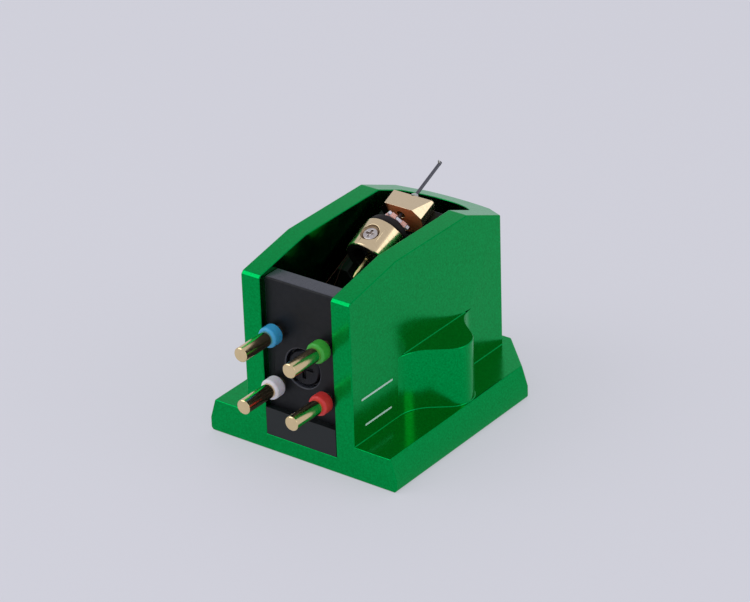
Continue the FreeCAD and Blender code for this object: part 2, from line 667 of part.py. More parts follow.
# Pole magnet pressed into the barrel's front half
def make_pole():
    pole = new_body("pole_magnet")
    place_on_axis(pole)
    profile = new_sketch(pole, "pole_profile", "XY_Plane")
    front = "-Size.rear_yoke_front"
    back = "-(Size.rear_yoke_front + Size.pole_length)"
    hole = "Size.ferrule_inner + Size.press_gap"
    add_outline(profile, [(hole, front), ("Size.rear_yoke_bore", front),
                          ("Size.rear_yoke_bore", back), (hole, back)])
    turn(pole, profile)
    cut_screw_hole(pole, "pole_screw_hole", "Size.clear_gap / 2")
    return pole


# Cross-slotted countersunk screw that clamps the ferrule inside the barrel
def make_yoke_screw():
    screw = new_body("yoke_screw")
    place_on_axis(screw)
    profile = new_sketch(screw, "yoke_screw_profile", "YZ_Plane")
    profile.AttachmentOffset = FreeCAD.Placement(
        FreeCAD.Vector(-sized("yoke_screw_place"), 0, 0), FreeCAD.Rotation())
    profile.setExpression("AttachmentOffset.Base.x", "-Size.yoke_screw_place * 1 mm")
    throat = "Size.rear_yoke_radius - Size.yoke_seat_sink - Size.yoke_seat_cone"
    edge = throat + " + Size.yoke_head_edge"
    top = edge + " + Size.yoke_head_crown"
    foot = "Size.ferrule_inner + Size.press_gap"
    add_outline(profile, [
        ("0", foot), ("Size.yoke_screw_shank", foot), ("Size.yoke_screw_shank", throat),
        ("Size.yoke_screw_head", edge), ("Size.yoke_screw_head - Size.yoke_head_crown", top),
        ("0", top)])
    turn(screw, profile)
    slot = new_sketch(screw, "yoke_screw_slot", "XY_Plane", "(%s) * 1 mm" % top)
    long_half, short_half = "Size.yoke_screw_head * 0.62", "Size.yoke_slot_width / 2"
    centre = "-Size.yoke_screw_place"
    shape = [(1, -1, 0), (1, 1, 0), (1, 1, 1), (1, 1, 2), (-1, 1, 2), (-1, 1, 1), (-1, 1, 0),
             (-1, -1, 0), (-1, -1, 1), (-1, -1, 2), (1, -1, 2), (1, -1, 1)]
    reach = {0: (long_half, short_half), 1: (short_half, short_half), 2: (short_half, long_half)}
    points = []
    for across_sign, up_sign, kind in shape:
        across, up = reach[kind]
        points.append(("%d * %s" % (across_sign, across), "%s + %d * %s" % (centre, up_sign, up)))
    add_outline(slot, points)
    pocket(screw, slot, "Size.yoke_slot_depth")
    return screw


# Thin gold ferrule that anchors the tie wire and leaves the barrel behind
def make_ferrule():
    ferrule = new_body("wire_ferrule")
    place_on_axis(ferrule)
    profile = new_sketch(ferrule, "ferrule_profile", "XY_Plane")
    bore = "Size.tie_radius + Size.tie_gap"
    front, step, end = "-Size.ferrule_front", "-Size.ferrule_step", "-Size.ferrule_end"
    neck = "-Size.ferrule_neck_end"
    socket = "-Size.tie_back - Size.ferrule_floor"
    add_outline(profile, [
        (bore, front), ("Size.ferrule_inner", front), ("Size.ferrule_inner", step),
        ("Size.ferrule_neck", step), ("Size.ferrule_neck", neck), ("Size.ferrule_radius", neck),
        ("Size.ferrule_radius", end + " + Size.ferrule_taper"),
        ("Size.ferrule_radius / 3", end), ("0", end), ("0", socket), (bore, socket)])
    turn(ferrule, profile)
    return ferrule


# Tie wire through the damper, on which the stylus assembly swings
def make_tie_wire():
    wire = new_body("tie_wire")
    place_on_axis(wire)
    profile = new_sketch(wire, "tie_wire_profile", "XY_Plane")
    add_outline(profile, [
        ("0", "-Size.tie_front"), ("Size.tie_radius", "-Size.tie_front"),
        ("Size.tie_radius", "-Size.tie_back"), ("0", "-Size.tie_back")])
    turn(wire, profile)
    return wire


# Cantilever rod through the front yoke
def make_cantilever():
    rod = new_body("cantilever")
    place_on_axis(rod)
    profile = new_sketch(rod, "cantilever_profile", "XY_Plane")
    back = "-(Size.coil_place - Size.coil_plate / 2 + Size.cantilever_seat)"
    inner = "Size.cantilever_radius - Size.press_gap"
    add_outline(profile, [("0", back), (inner, back), (inner, "Size.cantilever_reach"),
                          ("0", "Size.cantilever_reach")])
    turn(rod, profile)
    hole = new_sketch(rod, "stylus_hole", "XY_Plane")
    add_circle(hole, "0", "Size.cantilever_reach - Size.stylus_back",
               "Size.stylus_radius + Size.press_gap")
    pocket(rod, hole, "Size.stylus_length", middle=True)
    return rod


# Stylus stone across the end of the cantilever, ground to a point
def make_stylus():
    stone = new_body("stylus")
    place_on_axis(stone)
    profile = new_sketch(stone, "stylus_profile", "YZ_Plane")
    profile.AttachmentOffset = FreeCAD.Placement(
        FreeCAD.Vector(sized("cantilever_reach") - sized("stylus_back"), 0, 0),
        FreeCAD.Rotation())
    profile.setExpression("AttachmentOffset.Base.x",
                          "(Size.cantilever_reach - Size.stylus_back) * 1 mm")
    foot = "-Size.cantilever_radius"
    tip = foot + " + Size.stylus_length"
    add_outline(profile, [("0", foot), ("Size.stylus_radius", foot),
                          ("Size.stylus_radius", tip + " - Size.stylus_cone"),
                          ("Size.stylus_radius / 6", tip), ("0", tip)])
    turn(stone, profile)
    return stone


# Bracket on the channel floor: base, rear lug for the block screw, post with the two saddles
def make_bracket():
    bracket = new_body("generator_bracket")
    place_at_rear(bracket)
    back = "Size.block_recess + Size.block_thick"
    base_top = "Size.channel_floor + Size.bracket_base"
    base = new_sketch(bracket, "bracket_base", "XY_Plane", "Size.channel_floor * 1 mm")
    half = "(Size.channel_width / 2 - Size.bracket_base_side)"
    add_outline(base, [("-" + half, back), (half, back), (half, "Size.bracket_front"),
                       ("-" + half, "Size.bracket_front")])
    pad(bracket, base, "Size.bracket_base")

    lug = new_sketch(bracket, "bracket_lug", "YZ_Plane")
    lug_front = back + " + Size.bracket_lug_thick"
    lug_top = "Size.block_screw_height + Size.screw_shank_radius + Size.bracket_lug_wall"
    add_outline(lug, [(back, "Size.channel_floor"), (lug_front, "Size.channel_floor"),
                      (lug_front, lug_top), (back, lug_top)])
    pad(bracket, lug, "Size.bracket_lug_width", middle=True)

    tilt = "Size.axis_tilt * 1 deg"
    saddle = "(%s - Size.bracket_saddle / cos(%s))" % (AXIS_HEIGHT, tilt)
    post = new_sketch(bracket, "bracket_post", "YZ_Plane")
    at_back = "%s - (Size.axis_front - Size.bracket_post_back) * tan(%s)" % (saddle, tilt)
    front = "Size.axis_front + Size.bracket_saddle * sin(%s)" % tilt
    at_front = "%s + Size.bracket_saddle * sin(%s) * tan(%s)" % (saddle, tilt, tilt)
    add_outline(post, [
        ("Size.bracket_post_back", "Size.channel_floor"), (front, "Size.channel_floor"),
        (front, at_front), ("Size.bracket_post_back", at_back)])
    pad(bracket, post, "Size.bracket_post_width", middle=True)

    for name, start, end, radius in (
            ("saddle_front", "-1", "Size.front_yoke_length", "Size.front_yoke_radius"),
            ("saddle_gap", "Size.front_yoke_length", "Size.rear_yoke_front",
             "Size.front_yoke_radius + Size.bracket_relief"),
            ("saddle_rear", "Size.rear_yoke_front",
             "Size.rear_yoke_front + Size.rear_yoke_length + 3", "Size.rear_yoke_radius")):
        seat = new_sketch(bracket, name, "XY_Plane")
        turn_frame = FreeCAD.Rotation(FreeCAD.Vector(1, 0, 0), sized("axis_tilt"))
        spot = FreeCAD.Vector(0, sized("axis_front"), value_of(AXIS_HEIGHT))
        seat.AttachmentOffset = FreeCAD.Placement(spot, turn_frame)
        seat.setExpression("AttachmentOffset.Base.y", "Size.axis_front * 1 mm")
        seat.setExpression("AttachmentOffset.Base.z", AXIS_HEIGHT + " * 1 mm")
        seat.setExpression("AttachmentOffset.Rotation.Angle", "Size.axis_tilt * 1 deg")
        add_outline(seat, [("0", "-(%s)" % start), (radius, "-(%s)" % start),
                           (radius, "-(%s)" % end), ("0", "-(%s)" % end)])
        turn(bracket, seat, cut=True)

    block_hole = new_sketch(bracket, "lug_hole", "XZ_Plane")
    add_circle(block_hole, "0", "Size.block_screw_height", "Size.screw_shank_radius")
    pocket(bracket, block_hole, lug_front + " + 1")

    screw_hole = new_sketch(bracket, "base_hole", "XY_Plane")
    add_circle(screw_hole, "0", "Size.bracket_screw_place", "Size.bracket_screw_radius")
    pocket(bracket, screw_hole, "Size.bracket_screw_length + 0.4", reverse=True)
    return bracket


# Countersunk screw from the mounting face into the bracket
def make_bracket_screw():
    screw = new_body("bracket_screw")
    forward = "(Size.bracket_screw_place - Size.hole_back) * 1 mm"
    place(screw, "0 mm", forward, "0 mm")
    profile = new_sketch(screw, "bracket_screw_profile", "XZ_Plane")
    add_outline(profile, [
        ("0", "0.02"), ("Size.bracket_screw_head", "0.02"),
        ("Size.bracket_screw_radius", "Size.bracket_screw_cone"),
        ("Size.bracket_screw_radius", "Size.bracket_screw_length"),
        ("0", "Size.bracket_screw_length")])
    turn(screw, profile)
    cut_cross(screw, "XY_Plane", "0 mm", "Size.bracket_slot_width",
              "Size.bracket_screw_head * 1.2", "Size.bracket_slot_depth", True)
    return screw


def rounded_line(points, bend):
    """A wire of straight runs joined by arcs of the bend radius."""
    edges = []
    start = points[0]
    for before, corner, after in zip(points, points[1:], points[2:]):
        back = (before - corner).normalize()
        ahead = (after - corner).normalize()
        half = back.getAngle(ahead) / 2
        run = bend / math.tan(half)
        inward = (back + ahead).normalize()
        middle = corner + inward * (bend / math.sin(half) - bend)
        first, last = corner + back * run, corner + ahead * run
        edges.append(Part.makeLine(start, first))
        edges.append(Part.Arc(first, middle, last).toShape())
        start = last
    edges.append(Part.makeLine(start, points[-1]))
    return Part.Wire(edges)


def beside_axis(across, behind, below):
    """The point so far across, behind the front yoke's face and below the generator's axis."""
    tilt = math.radians(sized("axis_tilt"))
    return FreeCAD.Vector(
        across,
        sized("axis_front") - behind * math.cos(tilt) + below * math.sin(tilt),
        value_of(AXIS_HEIGHT) - behind * math.sin(tilt) - below * math.cos(tilt))


# Fine lead from beside the damper, along the barrel and down behind the post to a pin's tail
def make_lead(label, side, level):
    sign = -1 if side == "-" else 1
    upper = level == "+"
    radius = sized("lead_radius")
    beside = sized("rear_yoke_radius") + sized("lead_gap") + (3 * radius if upper else 0)
    below = sized("lead_drop") - (4 * radius if upper else 0)
    behind = (sized("axis_front") - sized("bracket_post_back")) / math.cos(
        math.radians(sized("axis_tilt"))) + 5 * radius
    start = sized("rear_yoke_front") + 2 * radius
    tail_back = sized("block_recess") + sized("block_thick") + sized("pin_tail")
    pin_side = sized("pin_pitch_across") / 2
    pin_height = sized("pins_height") + (1 if upper else -1) * sized("pin_pitch_up") / 2
    path = [
        beside_axis(beside, start, below),
        beside_axis(beside + 3 * radius, behind, below + 4 * radius),
        FreeCAD.Vector(pin_side, tail_back + radius, pin_height)]
    points = [FreeCAD.Vector(sign * spot.x, spot.y, spot.z) for spot in path]
    spine = rounded_line(points, sized("lead_bend"))
    heading = points[1] - points[0]
    ring = Part.Wire([Part.makeCircle(radius, points[0], heading)])
    tube = spine.makePipeShell([ring], True, False)
    lead = doc.addObject("Part::Feature", label)
    lead.Label = label
    lead.Shape = tube
    lead.Placement = FreeCAD.Placement(
        FreeCAD.Vector(0, -sized("hole_back"), 0), FreeCAD.Rotation())
    return lead


pieces = [make_body(), make_block(), make_label_plate(), make_block_screw()]
TERMINALS = (("right_live", "red", "", "-"), ("right_return", "green", "", "+"),
             ("left_live", "white", "-", "-"), ("left_return", "blue", "-", "+"))
for role, colour, side, level in TERMINALS:
    pieces.append(make_pin("pin_" + role, side, level))
    pieces.append(make_collar("collar_" + colour, side, level))
    pieces.append(make_lead("lead_" + role, side, level))
pieces += [make_front_yoke(), make_former(), make_coil("coil_left", False),
           make_coil("coil_right", True), make_damper(), make_rear_yoke(), make_pole(),
           make_yoke_screw(), make_ferrule(), make_tie_wire(), make_cantilever(),
           make_stylus(), make_bracket(), make_bracket_screw()]

doc.recompute()
for item in doc.Objects:
    if "Invalid" in item.State or "Error" in item.State:
        raise RuntimeError(item.Name + " failed: " + str(item.State))
for piece in pieces:
    if piece.Shape.isNull() or not piece.Shape.isValid() or not piece.Shape.Solids:
        raise RuntimeError(piece.Label + " has no valid solid")
    piece.Shape.exportStep("parts/%s.step" % piece.Label)
    box = piece.Shape.BoundBox
    print("%-18s %d solid %9.3f mm3  x %.2f %.2f  y %.2f %.2f  z %.2f %.2f" % (
        piece.Label, len(piece.Shape.Solids), piece.Shape.Volume,
        box.XMin, box.XMax, box.YMin, box.YMax, box.ZMin, box.ZMax))
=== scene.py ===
import itertools
import math

import bmesh
import bpy
from mathutils import Matrix, Vector


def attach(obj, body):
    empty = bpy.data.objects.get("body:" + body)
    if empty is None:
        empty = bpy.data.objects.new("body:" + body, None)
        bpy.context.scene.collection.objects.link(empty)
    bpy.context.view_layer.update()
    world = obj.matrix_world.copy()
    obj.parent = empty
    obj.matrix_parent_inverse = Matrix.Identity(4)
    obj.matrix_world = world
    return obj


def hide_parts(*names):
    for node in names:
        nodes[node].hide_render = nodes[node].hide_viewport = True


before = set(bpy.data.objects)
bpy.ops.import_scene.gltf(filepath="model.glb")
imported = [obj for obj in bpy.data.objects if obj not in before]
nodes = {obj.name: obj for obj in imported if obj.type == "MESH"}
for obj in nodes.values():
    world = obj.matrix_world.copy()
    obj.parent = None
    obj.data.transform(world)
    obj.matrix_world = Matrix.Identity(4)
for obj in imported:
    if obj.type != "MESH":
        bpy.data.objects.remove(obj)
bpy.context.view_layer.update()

MM = 0.001


# Camera: a long lens a quarter of a metre away, behind the pins and to their right, looking
# down. The part stands on its mounting face, so the stylus is at the top.
LENS_MM = 163.16
SENSOR_MM = 36
NEAREST_MM = 10
AZIMUTH = math.radians(37.394)
ELEVATION = math.radians(27.549)
ROLL = math.radians(-2.035)
LOOK_AT = Vector((0.0, -1.443, 8.229)) * MM
SEEN_FROM = Vector((0.361, 1.425, 264.616)) * MM


def add_object(name, data):
    """Adds an object that shows this data to the scene."""
    added = bpy.data.objects.new(name, data)
    bpy.context.scene.collection.objects.link(added)
    return added


away = Vector((math.sin(AZIMUTH) * math.cos(ELEVATION),
               -math.cos(AZIMUTH) * math.cos(ELEVATION), math.sin(ELEVATION)))
level = Vector((math.cos(AZIMUTH), math.sin(AZIMUTH), 0))
upright = away.cross(level)
right = level * math.cos(ROLL) + upright * math.sin(ROLL)
upward = upright * math.cos(ROLL) - level * math.sin(ROLL)
turn = Matrix((right, upward, away)).transposed()
camera_data = bpy.data.cameras.new("camera")
camera_data.lens = LENS_MM
camera_data.sensor_width = SENSOR_MM
camera_data.clip_start = NEAREST_MM * MM
camera = add_object("camera", camera_data)
camera.matrix_world = Matrix.Translation(LOOK_AT + turn @ SEEN_FROM) @ turn.to_4x4()
bpy.context.scene.camera = camera


# Body: one block of aluminium, milled with a flange, two cheeks and a boss on each side for the
# mounting screws, then fine bead blasted and anodised green. Every edge is broken with a hair
# of a chamfer, and the cutter leaves a small fillet where two faces meet.
BODY_EDGE_MM = 0.09
BODY_CREASE = math.radians(18)
# Every grain has this much detail and height, and its shine varies in patches a few grains wide
GRAIN_DETAIL = 3.0
GRAIN_STRENGTH = 0.5
PATCH_GRAINS = 4
PATCH_LOW = 0.3
PATCH_HIGH = 0.7
# Corners this close in metres are joined, and faces this near to flat become one
WELD = 1e-7
NEARLY_FLAT = math.radians(0.3)
# Edges that bend more than a crease are broken, and those sharper than a knife edge are left
CREASE = math.radians(25)
KNIFE_EDGE = math.radians(125)
# Where two edges run together like this, both are left sharp near the meeting point
CUSP = math.radians(20)
CUSP_REACH = 0.9 * MM


def linear(code):
    """Turns an sRGB hex colour to linear."""
    parts = [int(code[i:i + 2], 16) / 255 for i in (1, 3, 5)]
    flat = [p / 12.92 if p <= 0.04045 else ((p + 0.055) / 1.055) ** 2.4 for p in parts]
    return (*flat, 1.0)


def add_node(material, kind, values=None, links=None, **settings):
    """Adds one node with its settings, input values and links from other nodes."""
    node = material.node_tree.nodes.new(kind)
    for name, value in settings.items():
        setattr(node, name, value)
    for name, value in (values or {}).items():
        node.inputs[name].default_value = value
    for name, source in (links or {}).items():
        material.node_tree.links.new(source, node.inputs[name])
    return node


def shader_of(material):
    """The material's Principled shader."""
    return material.node_tree.nodes["Principled BSDF"]


def new_material(name, roughness, metallic=0.0, **more):
    """A Principled material with constant values."""
    material = bpy.data.materials.new(name)
    material.use_nodes = True
    inputs = shader_of(material).inputs
    inputs["Roughness"].default_value = roughness
    inputs["Metallic"].default_value = metallic
    for word, value in more.items():
        inputs[word.replace("_", " ")].default_value = value
    return material


def grained(name, tones, grain_mm, relief_mm, roughness, metallic=0.0, shine=None,
            stretch=(1, 1, 1), tilt=0.0, **more):
    """A material mottled between two tones, with a raised grain and a shine that varies."""
    material = new_material(name, roughness, metallic, **more)
    inputs = shader_of(material).inputs
    place = add_node(material, "ShaderNodeTexCoord").outputs["Object"]
    laid = add_node(material, "ShaderNodeMapping", {"Scale": stretch, "Rotation": (tilt, 0, 0)},
                    {"Vector": place})
    grain = add_node(material, "ShaderNodeTexNoise",
                     {"Scale": 1 / (grain_mm * MM), "Detail": GRAIN_DETAIL},
                     {"Vector": laid.outputs["Vector"]})
    mottle = add_node(material, "ShaderNodeMixRGB",
                      {"Color1": linear(tones[0]), "Color2": linear(tones[1])},
                      {"Fac": grain.outputs["Fac"]})
    relief = add_node(material, "ShaderNodeBump",
                      {"Strength": GRAIN_STRENGTH, "Distance": relief_mm * MM},
                      {"Height": grain.outputs["Fac"]})
    join = material.node_tree.links.new
    join(mottle.outputs["Color"], inputs["Base Color"])
    join(relief.outputs["Normal"], inputs["Normal"])
    if shine:
        patches = add_node(material, "ShaderNodeTexNoise",
                           {"Scale": 1 / (PATCH_GRAINS * grain_mm * MM)},
                           {"Vector": laid.outputs["Vector"]})
        worn = add_node(material, "ShaderNodeMapRange",
                        {"From Min": PATCH_LOW, "From Max": PATCH_HIGH,
                         "To Min": shine[0], "To Max": shine[1]},
                        {"Value": patches.outputs["Fac"]})
        join(worn.outputs["Result"], inputs["Roughness"])
    return material


def mark_broken_edges(work, crease):
    """Weights the edges to be broken, and leaves them sharp next to a cusp."""
    weight = work.edges.layers.float.new("bevel_weight_edge")
    for edge in work.edges:
        bend = edge.calc_face_angle(math.pi)
        edge.smooth = bend < crease
        edge[weight] = 1.0 if crease <= bend < KNIFE_EDGE else 0.0
    for vert in list(work.verts):
        meeting = sorted((edge for edge in vert.link_edges if edge[weight]),
                         key=lambda edge: edge.calc_length())
        for short, long in itertools.combinations(meeting, 2):
            ways = [edge.other_vert(vert).co - vert.co for edge in (short, long)]
            if ways[0].angle(ways[1]) < CUSP and long.calc_length() > 2 * CUSP_REACH:
                short[weight] = 0.0
                new_vert = bmesh.utils.edge_split(long, vert, CUSP_REACH / long.calc_length())[1]
                for edge in new_vert.link_edges:
                    edge[weight] = 0.0 if vert in edge.verts else 1.0
                break


def soft_edged(node, name, material, width_mm, segments=2, crease=CREASE):
    """A copy of a CAD node with its sharp edges broken, shaded smooth between them."""
    mesh = nodes[node].data.copy()
    mesh.name = name
    work = bmesh.new()
    work.from_mesh(mesh)
    bmesh.ops.remove_doubles(work, verts=work.verts, dist=WELD)
    bmesh.ops.dissolve_limit(work, angle_limit=NEARLY_FLAT, verts=work.verts, edges=work.edges)
    for face in work.faces:
        face.smooth = True
    mark_broken_edges(work, crease)
    work.to_mesh(mesh)
    work.free()
    mesh.materials.clear()
    mesh.materials.append(material)
    piece = add_object(name, mesh)
    rounding = piece.modifiers.new("edge_break", "BEVEL")
    rounding.width = width_mm * MM
    rounding.segments = segments
    rounding.limit_method = "WEIGHT"
    rounding.harden_normals = True
    rounding.use_clamp_overlap = False
    return piece


def stands_for(piece, node, body):
    """The piece rides on the body in place of the node, which is hidden."""
    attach(piece, body)
    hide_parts(node)
    return piece


# Anodised aluminium: a green metal mirror made soft by the blasting, so it shows the floor and
# the sky as smooth shades, and turns pale where it is seen at a low angle. The blast grain,
# about 0.05 mm in the real part, is drawn at 0.13 mm so that it shows.
anodised = grained("green_anodised_aluminium", ("#007a2c", "#00b85c"), grain_mm=0.13,
                   relief_mm=0.002, roughness=0.2, metallic=1.0, shine=(0.17, 0.22),
                   Specular_Tint=linear("#e6fff2"))
body = soft_edged("body", "milled_body", anodised, BODY_EDGE_MM, crease=BODY_CREASE)
stands_for(body, "body", "cartridge")


# Index lines: two fine white lines, printed on the right cheek by pad so that the ink stands a
# hundredth of a millimetre proud of the anodising.
LINE_THICK = 0.16
# Name, back end and front end from the rear of the body, and height, in mm
INDEX_LINES = (("upper_line", 1.17, 5.01, 6.38), ("lower_line", 1.55, 4.77, 4.07))
CHEEK_SIDE = 5.13
HOLE_BACK = 10.7
INK_PROUD = 0.012
END_STEPS = 6

# Pad printing ink: a matt white that lets a little of the green through
ink = grained("white_pad_print", ("#b4d8c4", "#dcf4e6"), grain_mm=0.15, relief_mm=0.002,
              roughness=0.55)


def closed_piece(work, name, material):
    """Turns the faces outward and makes a piece of them."""
    bmesh.ops.recalc_face_normals(work, faces=work.faces)
    mesh = bpy.data.meshes.new(name)
    work.to_mesh(mesh)
    work.free()
    mesh.materials.append(material)
    return add_object(name, mesh)


def printed_line(name, back, front, height):
    """A thin printed line on the cheek, with rounded ends."""
    half = LINE_THICK / 2
    outline = []
    for end, sign in ((front, 1), (back, -1)):
        for step in range(END_STEPS + 1):
            angle = -math.pi / 2 + step * math.pi / END_STEPS
            outline.append((end + sign * half * math.cos(angle),
                            height + sign * half * math.sin(angle)))
    work = bmesh.new()
    rings = [[work.verts.new(Vector((CHEEK_SIDE + lift, y - HOLE_BACK, z)) * MM)
              for y, z in outline] for lift in (INK_PROUD, -INK_PROUD)]
    work.faces.new(rings[0])
    work.faces.new(rings[1][::-1])
    for i in range(len(outline)):
        j = (i + 1) % len(outline)
        work.faces.new((rings[0][j], rings[0][i], rings[1][i], rings[1][j]))
    return closed_piece(work, name, ink)


for name, back, front, height in INDEX_LINES:
    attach(printed_line(name, back, front, height), "cartridge")


# Bracket: a milled aluminium base, rear lug and post with two saddles that carry the
# generator, painted near black as painted shade so that the channel stays dark.
BRACKET_EDGE_MM = 0.06
# Painted shade: the bracket is painted near black where the channel lies in shade
channel_shade_black = grained("aluminium_painted_channel_shade", ("#0c100e", "#181d1a"), grain_mm=0.1,
                         relief_mm=0.001, roughness=0.45, metallic=0.6, shine=(0.4, 0.5))
bracket = soft_edged("generator_bracket", "milled_bracket", channel_shade_black, BRACKET_EDGE_MM)
stands_for(bracket, "generator_bracket", "cartridge")

# Its screw comes up through the mounting face: countersunk steel with a cross slot, blackened
# by oxide that is worn grey in places.
BRACKET_SCREW_EDGE_MM = 0.03
black_oxide = grained("black_oxide_steel", ("#1a1b1d", "#34353a"), grain_mm=0.12,
                      relief_mm=0.001, roughness=0.38, metallic=0.85, shine=(0.3, 0.45))
bracket_screw = soft_edged("bracket_screw", "countersunk_bracket_screw", black_oxide,
                           BRACKET_SCREW_EDGE_MM)
stands_for(bracket_screw, "bracket_screw", "cartridge")


# Rear yoke: a barrel turned from soft iron, bored through and gold plated over a satin skin,
# with fine turning marks round it. It holds the magnet, the ferrule and their screw.
AXIS_TILT = math.radians(23.5)
AXIS_FRONT = Vector((0, 4.7, 16.25)) * MM
across = Vector((1, 0, 0))
along = Vector((0, math.cos(AXIS_TILT), math.sin(AXIS_TILT)))
above = Vector((0, -math.sin(AXIS_TILT), math.cos(AXIS_TILT)))
BARREL_EDGE_MM = 0.06
BORE_REACH_MM = 1.36
SCREW_PLACE_MM = 5.57
SEAT_REACH_MM = 0.78
# Turning marks are drawn this long round a turned piece, so that they read as rings
TURNED = (0.08, 1, 0.08)
screw_line = AXIS_FRONT - along * SCREW_PLACE_MM * MM


def off_line(spot, start, way):
    """How far the spot lies off the line that runs from start along the way."""
    reach = spot - start
    return (reach - way * reach.dot(way)).length


def in_bore(face):
    """Whether the barrel's face is in its bore."""
    return off_line(face.center, AXIS_FRONT, along) < BORE_REACH_MM * MM


def in_seat(face):
    """Whether the barrel's face is in the countersink of its screw."""
    on_top = (face.center - AXIS_FRONT).dot(above) > 0
    beside_screw = off_line(face.center, screw_line, above) < SEAT_REACH_MM * MM
    return on_top and beside_screw and not in_bore(face)


def refinish(piece, material, chosen):
    """Gives the piece's chosen faces another finish; returns its number."""
    piece.data.materials.append(material)
    number = len(piece.data.materials) - 1
    for face in piece.data.polygons:
        if chosen(face):
            face.material_index = number
    return number


gold_iron = grained("gold_plated_soft_iron", ("#dcc49c", "#ecd8b0"), grain_mm=0.06,
                    relief_mm=0.0015, roughness=0.2, metallic=1.0, shine=(0.16, 0.26),
                    stretch=TURNED, tilt=-AXIS_TILT)
# The bore is painted near black and the screw's countersink brown, both as painted shade
# Painted shade: the bore's faces are painted near black
bore_shade_black = grained("bore_painted_shade", ("#0a0908", "#14110e"), grain_mm=0.1,
                    relief_mm=0.001, roughness=0.6, metallic=0.5)
# Painted shade: the countersink's cone faces are painted dark brown
countersink_shade_brown = grained("countersink_painted_shade", ("#8a745c", "#b49a78"), grain_mm=0.08,
                      relief_mm=0.001, roughness=0.35, metallic=0.9)
barrel = soft_edged("rear_yoke", "turned_barrel", gold_iron, BARREL_EDGE_MM)
refinish(barrel, bore_shade_black, in_bore)
refinish(barrel, countersink_shade_brown, in_seat)
stands_for(barrel, "rear_yoke", "cartridge")

# Magnet: a ground grey ring pressed into the front half of the barrel.
MAGNET_EDGE_MM = 0.02
ground_magnet = grained("ground_magnet", ("#4c4c50", "#66666a"), grain_mm=0.08,
                        relief_mm=0.001, roughness=0.45, metallic=0.8, shine=(0.4, 0.5))
magnet = soft_edged("pole_magnet", "ring_magnet", ground_magnet, MAGNET_EDGE_MM)
stands_for(magnet, "pole_magnet", "cartridge")

# Yoke screw and tie wire: plain steel, the head bright from polishing and its edge rounded.
YOKE_SCREW_EDGE_MM = 0.025
TIE_WIRE_EDGE_MM = 0.02
bright_steel = grained("polished_steel", ("#b0a8a0", "#e4dedc"), grain_mm=0.12,
                       relief_mm=0.012, roughness=0.18, metallic=1.0, shine=(0.12, 0.28))
yoke_screw = soft_edged("yoke_screw", "cross_head_screw", bright_steel, YOKE_SCREW_EDGE_MM,
                        segments=3)
# The head is wider and higher than its seat needs, so that it fills the countersink
HEAD_WIDER = 1.16
HEAD_HIGHER = 0.07 * MM
HEAD_FROM = 1.5 * MM
for vert in yoke_screw.data.vertices:
    from_line = vert.co - screw_line
    if from_line.dot(above) > HEAD_FROM:
        rise = above * from_line.dot(above)
        vert.co = screw_line + rise + (from_line - rise) * HEAD_WIDER + above * HEAD_HIGHER
stands_for(yoke_screw, "yoke_screw", "cartridge")
tie_wire = soft_edged("tie_wire", "steel_tie_wire", bright_steel, TIE_WIRE_EDGE_MM)
stands_for(tie_wire, "tie_wire", "tie_wire")

# Ferrule: a thin turned brass spigot, gold plated, that anchors the tie wire and leaves the
# barrel behind.
FERRULE_EDGE_MM = 0.02
gold_brass = grained("gold_plated_brass", ("#e4c88c", "#f4dca0"), grain_mm=0.05,
                     relief_mm=0.0012, roughness=0.3, metallic=1.0, shine=(0.26, 0.36),
                     stretch=TURNED)
ferrule = soft_edged("wire_ferrule", "turned_ferrule", gold_brass, FERRULE_EDGE_MM)
stands_for(ferrule, "wire_ferrule", "cartridge")


# Damper: a moulded ring of soft black rubber between the barrel and the coils, with the dull
# bloom that rubber has.
DAMPER_EDGE_MM = 0.05
rubber = grained("black_rubber", ("#151011", "#201a1b"), grain_mm=0.12, relief_mm=0.004,
                 roughness=0.6, shine=(0.5, 0.62), Specular_IOR_Level=0.2)
damper = soft_edged("damper", "moulded_damper", rubber, DAMPER_EDGE_MM, segments=3)
stands_for(damper, "damper", "cartridge")


# Former and coils: a small white plastic square on its corner, wound each way with fine
# enamelled copper wire, pink in this light. The wire is drawn thicker than the real one,
# which is too fine to show.
FORMER_EDGE_MM = 0.02
WIRE_RADIUS = 0.03 * MM
WIRE_ROUNDNESS = 2
# A turn has four corners, bent round two wire radii or less, with this many points each
CORNERS = 4
CORNER_POINTS = 3
CORNER_WIRES = 2

former_plastic = grained("white_former_plastic", ("#e8dfe6", "#f6f0f4"), grain_mm=0.1,
                         relief_mm=0.001, roughness=0.45, Subsurface_Weight=0.15,
                         Subsurface_Scale=0.2 * MM)
former = soft_edged("coil_former", "moulded_former", former_plastic, FORMER_EDGE_MM)
stands_for(former, "coil_former", "stylus_assembly")

pink_enamel = grained("pink_enamelled_copper", ("#ffb4a2", "#ffd6c8"), grain_mm=0.2,
                      relief_mm=0.0005, roughness=0.32, Coat_Weight=0.4, Coat_Roughness=0.1)

diagonals = ((across + above).normalized(), (above - across).normalized())
coil_axes = (*diagonals, along)


def bands_of(node):
    """The loose parts of a coil's node, each as its lowest and highest reach along three axes."""
    work = bmesh.new()
    work.from_mesh(nodes[node].data)
    bmesh.ops.remove_doubles(work, verts=work.verts, dist=WELD)
    waiting = set(work.verts)
    found = []
    while waiting:
        group = {waiting.pop()}
        edge_of = set(group)
        while edge_of:
            edge_of = {edge.other_vert(vert) for vert in edge_of for edge in vert.link_edges}
            edge_of -= group
            group |= edge_of
        waiting -= group
        reach = [[vert.co.dot(axis) for vert in group] for axis in coil_axes]
        found.append([(min(part), max(part)) for part in reach])
    work.free()
    return sorted(found)


